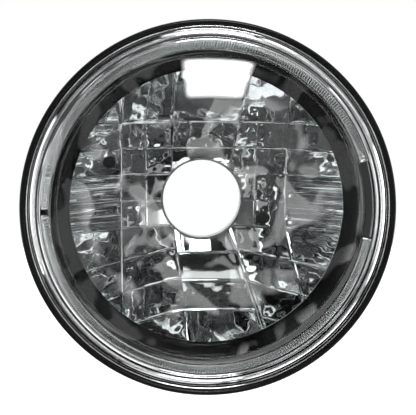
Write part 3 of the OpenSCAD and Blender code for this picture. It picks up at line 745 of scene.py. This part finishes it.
def sloped(surface, level, focal, depth):
    """A surface whose front end was made flat at a level, with all that lies within 0.6 mm of that level moved to
    follow the bowl's slope at a depth behind it: y' = y - level + bowl(r) + depth."""
    points, faces = surface
    x, y, z = points.T
    along = y - level + bowl_y(np.hypot(x, z), focal) + depth
    return rows_of(x, np.where(y < level + 0.6, along, y), z), faces


def reflector_surfaces(reflector):
    """The faceted face as tiles, and behind it the casting: a closed profile turned round the axis, whose front
    keeps 2.7 mm behind the plain bowl, the vent boss turned round the vent's axis, and the locating lugs."""
    focal, mouth, hole = reflector.focal / MM, reflector.mouth / MM, reflector.neck / MM
    tiles = [facet_tile(n, i, j, c, reflector) for n, i, j, c in facet_layout(reflector)]
    tiles = [t for t in tiles if t]
    r_in = np.linspace(hole, mouth, 26)
    inner = np.stack([r_in, bowl_y(r_in, focal) + 2.7], axis=1)
    inner[-1, 1] = 13.2
    r_out = np.linspace(mouth - 0.4, 27.2, 26)
    outer = np.stack([r_out, casting_back(r_out, focal)], axis=1)
    front = filleted([(64.8, 12.6), MOUTH, (74.3, 3.0), (82.6, 3.0), (82.6, -1.0), (83.8, -1.0), (83.8, 7.0),
                      (70.8, 7.0), (67.6, 11.2), tuple(outer[0])], 0.4, 5, closed=False)
    neck = filleted([tuple(outer[-1]), (26.45, 52.6), (26.45, 55.94), (35.0, 55.94), (35.0, 59.94), (hole, 59.94),
                     (hole, 56.0)], 0.5, 5, closed=False)
    shell = revolved(np.concatenate([inner, front, outer[1:-1], neck]), 240)
    place, vent = vent_place(reflector), reflector.vent / MM
    level = bowl_y(math.hypot(*place), focal) + 1.9
    boss = filleted([(vent, level), (vent + 3.0, level), (vent + 3.0, VENT_BACK), (vent, VENT_BACK)], 0.45, 5)
    boss = sloped(revolved(boss, 64, place), level, focal, 2.85)
    lugs = [turned(rounded_box((76.8, 6.4, -4.5), (82.8, 10.0, 4.5), 0.6), 90 + 120 * k) for k in range(3)]
    return tiles, joined(shell, boss, *lugs)


def plug_surface(reflector):
    """The plug's closed profile, turned round the vent's axis: a stem that closes the hole, and a round flange."""
    place, focal = vent_place(reflector), reflector.focal / MM
    level = bowl_y(math.hypot(*place), focal) + 2.4
    stem, flange = reflector.vent / MM - 0.07, reflector.vent / MM + 2.5
    profile = filleted([(0.0, level), (stem, level), (stem, VENT_BACK), (flange, VENT_BACK),
                        (flange, VENT_BACK + 2.0), (0.0, VENT_BACK + 2.0)], [0.01, 0.3, 0.1, 0.4, 0.5, 0.01], 5)
    return sloped(revolved(profile, 48, place), level, focal, 1.7)


def rivet_surface(x, y, z):
    """A rivet: a shank and a domed head, as a closed profile turned round the rivet's axis."""
    shank, head, rim, rise = 1.2, 2.2, 0.35, 0.65
    dome = [(head * math.cos(a), y + rim + rise * math.sin(a)) for a in np.linspace(0.0, math.pi / 2, 9)[:-1]]
    profile = [(0.0, y - 4.0), (shank, y - 4.0), (shank, y), (head, y)] + dome + [(0.0, y + rim + rise)]
    return revolved(profile, 32, (x, z))


WIRE_RADIUS = 0.8
# Y and Z of the clip's hinge
HINGE = (65.04, -28.0)


def clip_path():
    """The bulb clip's wire, hanging open from its hinge, as a path with rounded bends."""
    half = [(4.5, 0.0), (13.0, 0.0), (16.0, -13.0), (16.0, -34.0), (6.0, -54.0)]
    path = half + [(-x, z) for x, z in half[::-1]]
    points = [(x, HINGE[0], z + HINGE[1]) for x, z in path]
    return filleted(points, 3.2, 9, closed=False)


def spring_path():
    """One spring clip's wire, a W lying on the flange at the top of the lamp."""
    end_z = math.sqrt(85.1 ** 2 - 13.0 ** 2)
    half = [(13.0, end_z), (9.0, end_z + 0.4), (6.5, 77.0)]
    path = half + [(0.0, 82.2)] + [(-x, z) for x, z in half[::-1]]
    return filleted([(x, 7.85, z) for x, z in path], 2.0, 8, closed=False)


class HEADLIGHT_OT_ring(bpy.types.Operator):
    """Builds the stepped chrome ring and the black seal round it"""
    bl_idname = "headlight.ring"
    bl_label = "Ring and Seal"

    def execute(self, context):
        ring = context.scene.headlight_ring
        piece("stepped_ring", ring_surface(ring), [material_of(chrome_plate)],
              stands_for=["retaining_ring"], sharp=40)
        piece("edge_seal_extrusion", seal_surface(ring), [material_of(edge_rubber)],
              stands_for=["edge_seal"], sharp=50)
        dress("ring_cushion", material_of(edge_rubber))
        return {"FINISHED"}


class HEADLIGHT_OT_lens(bpy.types.Operator):
    """Builds the domed glass with its ribbed band and smooth pad"""
    bl_idname = "headlight.lens"
    bl_label = "Lens"

    def execute(self, context):
        lens = context.scene.headlight_lens
        if lens.ribs * 4 % DOME_STEPS:
            raise ValueError("the number of ribs must be a multiple of 125, so that the band meets the dome")
        piece("pressed_lens", lens_surface(lens), [material_of(pressed_glass)], stands_for=["lens"],
              sharp=50)
        dress("lens_sealant", material_of(butyl_sealant))
        return {"FINISHED"}


class HEADLIGHT_OT_bezel(bpy.types.Operator):
    """Builds the gloss-black bezel between the glass and the reflector's mouth"""
    bl_idname = "headlight.bezel"
    bl_label = "Bezel"

    def execute(self, context):
        piece("black_bezel", bezel_surface(), [material_of(black_moulding)], stands_for=["bezel"])
        return {"FINISHED"}


class HEADLIGHT_OT_reflector(bpy.types.Operator):
    """Builds the faceted reflector, its casting and the vent plug"""
    bl_idname = "headlight.reflector"
    bl_label = "Reflector"

    def execute(self, context):
        reflector = context.scene.headlight_reflector
        tiles, casting = reflector_surfaces(reflector)
        if len(tiles) < 40:
            raise ValueError("too few facets lie inside the bowl's mouth")
        mirror, bare = material_of(aluminised_mirror), material_of(bare_casting)
        piece("reflector_facets", joined(*tiles), [mirror], sharp=28)

        def bare_or_bright(centres, normals):
            """The vacuum coat reaches what faces forward, in front of the neck's end. The rest is left bare."""
            bright = (normals[:, 1] < -0.2) & (centres[:, 1] < 54.0)
            return np.where(bright, 0, 1)

        piece("reflector_casting", casting, [mirror, bare], stands_for=["reflector"],
              which=bare_or_bright)
        piece("vent_plug_rubber", plug_surface(reflector), [material_of(edge_rubber)],
              stands_for=["vent_plug"])
        return {"FINISHED"}


class HEADLIGHT_OT_seat(bpy.types.Operator):
    """Finishes the bulb seat, the hinge bracket and the latch hook, and builds their rivets"""
    bl_idname = "headlight.seat"
    bl_label = "Bulb Seat and Rivets"

    def execute(self, context):
        for node in ("bulb_seat", "hinge_bracket", "latch_hook"):
            dress(node, material_of(zinc_plate))
        metal = [material_of(rivet_steel)]
        rivets = {
            "seat_rivets": ((-26.6, 61.44, 0.0), (26.6, 61.44, 0.0)),
            "bracket_rivets": ((-13.6, 61.14, -28.0), (13.6, 61.14, -28.0)),
            "latch_rivet": ((0.0, 61.14, 30.7),),
        }
        for node, places in rivets.items():
            piece(node + "_upset", joined(*[rivet_surface(*p) for p in places]), metal,
                  stands_for=[node], sharp=50)
        return {"FINISHED"}


class HEADLIGHT_OT_wires(bpy.types.Operator):
    """Builds the bulb clip and the six spring clips as smooth wires"""
    bl_idname = "headlight.wires"
    bl_label = "Wire Clips"

    def execute(self, context):
        metal = [material_of(drawn_wire)]
        piece("bulb_clip_wire", tube(clip_path(), WIRE_RADIUS), metal, "clip", ["bulb_clip"], sharp=60)
        spring = tube(spring_path(), WIRE_RADIUS, 16)
        for k in range(6):
            piece(f"spring_clip_wire_{k + 1}", turned(spring, 60 * k), metal,
                  stands_for=[f"spring_clip_{k + 1}"], sharp=60)
        return {"FINISHED"}


# The studio


def direction(theta, phi):
    """A direction from the lamp: theta away from its axis, which points to -Y, and phi round it, from +X to +Z."""
    t, p = np.radians(theta), np.radians(phi)
    return np.stack([np.sin(t) * np.cos(p), -np.cos(t), np.sin(t) * np.sin(p)], axis=-1)


def card(name, corners, distance, strength, soft, curved=False):
    """A lit card of the studio. The corners are (theta, phi) as direction takes them, in order round the card, and
    the card lies between them: (1-u)(1-v) A + u (1-v) B + u v C + (1-u) v D, of places for a flat card and of
    angles for one that curves round the lamp. The light fades over soft of its width and height. The camera
    doesn't see it."""
    rows, columns = 9, 25
    u, v = np.meshgrid(np.linspace(0, 1, rows), np.linspace(0, 1, columns), indexing="ij")
    c = np.array(corners, float)
    if not curved:
        c = direction(*c.T)
    points = (c[0] * ((1 - u) * (1 - v))[..., None] + c[1] * (u * (1 - v))[..., None]
              + c[2] * (u * v)[..., None] + c[3] * ((1 - u) * v)[..., None])
    if curved:
        points = direction(points[..., 0], points[..., 1])
    material = bpy.data.materials.new(name + "_light")
    material.use_nodes = True
    tree = material.node_tree
    tree.nodes.clear()
    uv = add_node(tree, "ShaderNodeUVMap", uv_map="card")
    axes = add_node(tree, "ShaderNodeSeparateXYZ", links={"Vector": uv.outputs["UV"]})
    fades = []
    for axis in ("X", "Y"):
        centred = add_node(tree, "ShaderNodeMath", {1: 0.5}, {0: axes.outputs[axis]}, operation="SUBTRACT")
        away = add_node(tree, "ShaderNodeMath", links={0: centred.outputs[0]}, operation="ABSOLUTE")
        fades.append(add_node(
            tree, "ShaderNodeMapRange", {"From Min": 0.5, "From Max": 0.5 - soft, "To Min": 0.0, "To Max": 1.0},
            {"Value": away.outputs[0]}, interpolation_type="SMOOTHSTEP").outputs["Result"])
    both = add_node(tree, "ShaderNodeMath", links={0: fades[0], 1: fades[1]}, operation="MULTIPLY")
    level = add_node(tree, "ShaderNodeMath", {1: strength}, {0: both.outputs[0]}, operation="MULTIPLY")
    light = add_node(tree, "ShaderNodeEmission", links={"Strength": level.outputs[0]})
    add_node(tree, "ShaderNodeOutputMaterial", links={"Surface": light.outputs[0]})
    mesh = bpy.data.meshes.new(name)
    quads = grid_quads(rows, columns, False, False)
    mesh.from_pydata((points.reshape(-1, 3) * distance).tolist(), [], quads.tolist())
    layer = mesh.uv_layers.new(name="card")
    loops = np.empty(len(mesh.loops), dtype=np.int32)
    mesh.loops.foreach_get("vertex_index", loops)
    layer.data.foreach_set("uv", np.stack([u.ravel(), v.ravel()], axis=1)[loops].ravel())
    mesh.materials.append(material)
    obj = placed(name, mesh)
    obj.visible_camera = False
    obj.visible_shadow = False


# The softbox above the camera: its corners as (theta, phi), its distance in metres and its soft edge
SOFTBOX = [(41.0, 99.3), (43.6, 65.6), (60.6, 66.2), (57.9, 98.6)]
SOFTBOX_DISTANCE, SOFTBOX_EDGE = 0.9, 0.14
# The curved strips of light round the lamp: name, thetas, phis, strength and soft edge
STRIPS = [
    ("near_high_right", (65, 75), (-16, 70), 2.0, 0.06),
    ("near_high", (66, 75), (70, 104), 1.2, 0.06),
    ("near_left", (66, 75), (150, 206), 1.7, 0.06),
    ("near_low_left", (67, 75), (206, 245), 0.5, 0.06),
    ("near_low_right", (67, 75), (250, 344), 2.0, 0.06),
    ("far_right", (77, 95), (-30, 17), 4.5, 0.1),
    ("far_high_right", (77, 91), (17, 66), 2.0, 0.1),
    ("far_high", (77, 92), (72, 104), 1.6, 0.12),
    ("far_high_left", (83, 89), (106, 152), 1.4, 0.12),
    ("far_left", (77, 93), (162, 206), 2.8, 0.12),
    ("far_low", (78, 90), (244, 278), 1.2, 0.15),
    ("far_low_right", (77, 92), (282, 328), 3.2, 0.12),
]
# The black flags, a little further out, that keep the ring's left side dark
FLAGS = [
    ("flag_high_left", (68, 99), (107, 150), 0.02, 0.02),
    ("flag_low_left", (68, 99), (207, 243), 0.02, 0.02),
]
STRIP_DISTANCE, FLAG_DISTANCE = 1.1, 1.15

# The room, by the Y of the direction looked in, from -1 in front of the lamp to 1 behind it: where the white
# behind it fades in, where the dark round the camera fades out, and the middle and reach of a dim collar
BEHIND, CENTRE, COLLAR, COLLAR_REACH = (-0.02, 0.16), (-0.972, -0.945), -0.56, (0.08, 0.15)
# Levels of the white behind, of the dark centre and of the collar
BEHIND_LEVEL, CENTRE_LEVEL, COLLAR_LEVEL = 1.12, 0.03, 0.2
# The grey walls and the paler panels: the noise's scale, detail and roughness, the lowest and highest level, the
# part of the noise between them, and its distortion
WALLS = (1.4, 1.0, 0.5, 0.03, 0.34, 0.38, 0.62, 0.0)
PANELS = (3.2, 1.5, 0.5, 0.0, 2.1, 0.54, 0.58, 0.9)
# The floor's reach along X and Y in metres, and its glow where it is seen directly or in a mirror or glass
FLOOR, FLOOR_GLOW = ((-2.5, 2.5), (-0.02, 3.2)), 0.62


class HEADLIGHT_OT_stage(bpy.types.Operator):
    """Sets up the pale floor, the white surround, the softbox and cards, and the camera"""
    bl_idname = "headlight.stage"
    bl_label = "Studio"

    def execute(self, context):
        studio = context.scene.headlight_studio
        self.surround()
        self.floor(studio)
        card("softbox_top", SOFTBOX, SOFTBOX_DISTANCE, studio.softbox, SOFTBOX_EDGE)
        for rows, distance in ((STRIPS, STRIP_DISTANCE), (FLAGS, FLAG_DISTANCE)):
            for name, (near, far), (start, end), strength, soft in rows:
                corners = [(near, start), (far, start), (far, end), (near, end)]
                card(name, corners, distance, strength, soft, curved=True)
        self.camera(studio)
        return {"FINISHED"}

    def surround(self):
        """White behind the lamp, and in front of it a dim room of grey walls and paler panels, dark round the
        camera. The mirrors of the lamp show its panels and gaps drawn out into streaks."""
        world = bpy.data.worlds.new("studio_surround")
        bpy.context.scene.world = world
        world.use_nodes = True
        tree = world.node_tree
        tree.nodes.clear()
        sky = add_node(tree, "ShaderNodeTexCoord").outputs["Generated"]
        depth = add_node(tree, "ShaderNodeSeparateXYZ", links={"Vector": sky}).outputs["Y"]
        from_collar = add_node(tree, "ShaderNodeMath", {1: COLLAR}, {0: depth}, operation="SUBTRACT")
        from_collar = add_node(tree, "ShaderNodeMath", links={0: from_collar.outputs[0]}, operation="ABSOLUTE")
        behind, centre, collar = [
            add_node(
                tree, "ShaderNodeMapRange", {"From Min": start, "From Max": end, "To Min": level, "To Max": 1.0},
                {"Value": value}, interpolation_type="SMOOTHSTEP").outputs["Result"]
            for value, (start, end), level in (
                (depth, BEHIND, 0.0), (depth, CENTRE, CENTRE_LEVEL),
                (from_collar.outputs[0], COLLAR_REACH, COLLAR_LEVEL))]
        room, panels = patches(tree, sky, *WALLS), patches(tree, sky, *PANELS)
        for operation, value in (("ADD", panels), ("MULTIPLY", centre), ("MULTIPLY", collar)):
            room = add_node(tree, "ShaderNodeMath", links={0: room, 1: value}, operation=operation).outputs[0]
        light = add_node(tree, "ShaderNodeMix", {3: BEHIND_LEVEL}, {0: behind, 2: room}, data_type="FLOAT")
        rays = add_node(tree, "ShaderNodeLightPath")
        level = add_node(
            tree, "ShaderNodeMix", {3: 1.0}, {0: rays.outputs["Is Camera Ray"], 2: light.outputs[0]},
            data_type="FLOAT")
        back = add_node(tree, "ShaderNodeBackground", {"Color": (1.0, 1.0, 1.0, 1.0)}, {"Strength": level.outputs[0]})
        add_node(tree, "ShaderNodeOutputWorld", links={"Surface": back.outputs[0]})

    def floor(self, studio):
        """A plain pale floor well below the lamp, which keeps its shadow and is white where it is lit."""
        u, v = np.meshgrid(*[np.linspace(*reach, 13) for reach in FLOOR], indexing="ij")
        mesh = bpy.data.meshes.new("floor")
        mesh.from_pydata(rows_of(u, v, -studio.floor_drop).tolist(), [], grid_quads(13, 13, False, False).tolist())
        material = finish("matt_paper_sweep", studio.paper, grain=(1.2, 3.0, 0.5, 0.05), Roughness=0.9)
        tree, shader = material.node_tree, shader_of(material)
        rays = add_node(tree, "ShaderNodeLightPath").outputs
        seen = rays["Is Camera Ray"]
        for ray in ("Is Glossy Ray", "Is Transmission Ray"):
            seen = add_node(tree, "ShaderNodeMath", links={0: seen, 1: rays[ray]}, operation="MAXIMUM").outputs[0]
        glow = add_node(tree, "ShaderNodeMath", {1: FLOOR_GLOW}, {0: seen}, operation="MULTIPLY")
        shader.inputs["Emission Color"].default_value = (1.0, 1.0, 1.0, 1.0)
        tree.links.new(glow.outputs[0], shader.inputs["Emission Strength"])
        mesh.materials.append(material)
        obj = placed("floor", mesh)

    def camera(self, studio):
        """A long lens in front of the lamp, a little to -X and above its axis, aimed at the seat plane's middle."""
        level = math.cos(studio.elevation)
        back = np.array([
            math.sin(studio.azimuth) * level, -math.cos(studio.azimuth) * level, math.sin(studio.elevation)])
        data = bpy.data.cameras.new("camera")
        data.sensor_fit = "HORIZONTAL"
        data.sensor_width = 36.0
        data.lens = data.sensor_width * studio.distance / studio.frame_width
        data.clip_end = 20.0
        obj = placed("camera", data)
        obj.location = back * studio.distance
        obj.rotation_euler = (math.pi / 2 - studio.elevation, 0.0, studio.azimuth)
        bpy.context.scene.camera = obj
        bpy.context.scene.view_settings.view_transform = "Standard"


class HEADLIGHT_PT_panel(bpy.types.Panel):
    """Lists the sizes, finishes and pieces of the headlight"""
    bl_idname = "HEADLIGHT_PT_panel"
    bl_label = "Round Headlight"
    bl_space_type = "VIEW_3D"
    bl_region_type = "UI"
    bl_category = "Headlight"

    def draw(self, context):
        layout = self.layout
        for name in GROUPS:
            box = layout.box()
            group = getattr(context.scene, name)
            for key in group.bl_rna.properties.keys():
                if key not in ("rna_type", "name"):
                    box.prop(group, key)
        for operator in OPERATORS:
            layout.operator(operator.bl_idname)


GROUPS = {
    "headlight_ring": HeadlightRing,
    "headlight_lens": HeadlightLens,
    "headlight_reflector": HeadlightReflector,
    "headlight_finish": HeadlightFinish,
    "headlight_studio": HeadlightStudio,
}
OPERATORS = (
    HEADLIGHT_OT_stage,
    HEADLIGHT_OT_ring,
    HEADLIGHT_OT_lens,
    HEADLIGHT_OT_bezel,
    HEADLIGHT_OT_reflector,
    HEADLIGHT_OT_seat,
    HEADLIGHT_OT_wires,
)
CLASSES = (*GROUPS.values(), *OPERATORS, HEADLIGHT_PT_panel)


def register():
    for cls in CLASSES:
        bpy.utils.register_class(cls)
    for name, group in GROUPS.items():
        setattr(bpy.types.Scene, name, bpy.props.PointerProperty(type=group))


def unregister():
    for name in GROUPS:
        delattr(bpy.types.Scene, name)
    for cls in reversed(CLASSES):
        bpy.utils.unregister_class(cls)


def main():
    register()
    for operator in OPERATORS:
        group, name = operator.bl_idname.split(".")
        getattr(getattr(bpy.ops, group), name)()


if __name__ == "__main__":
    main()
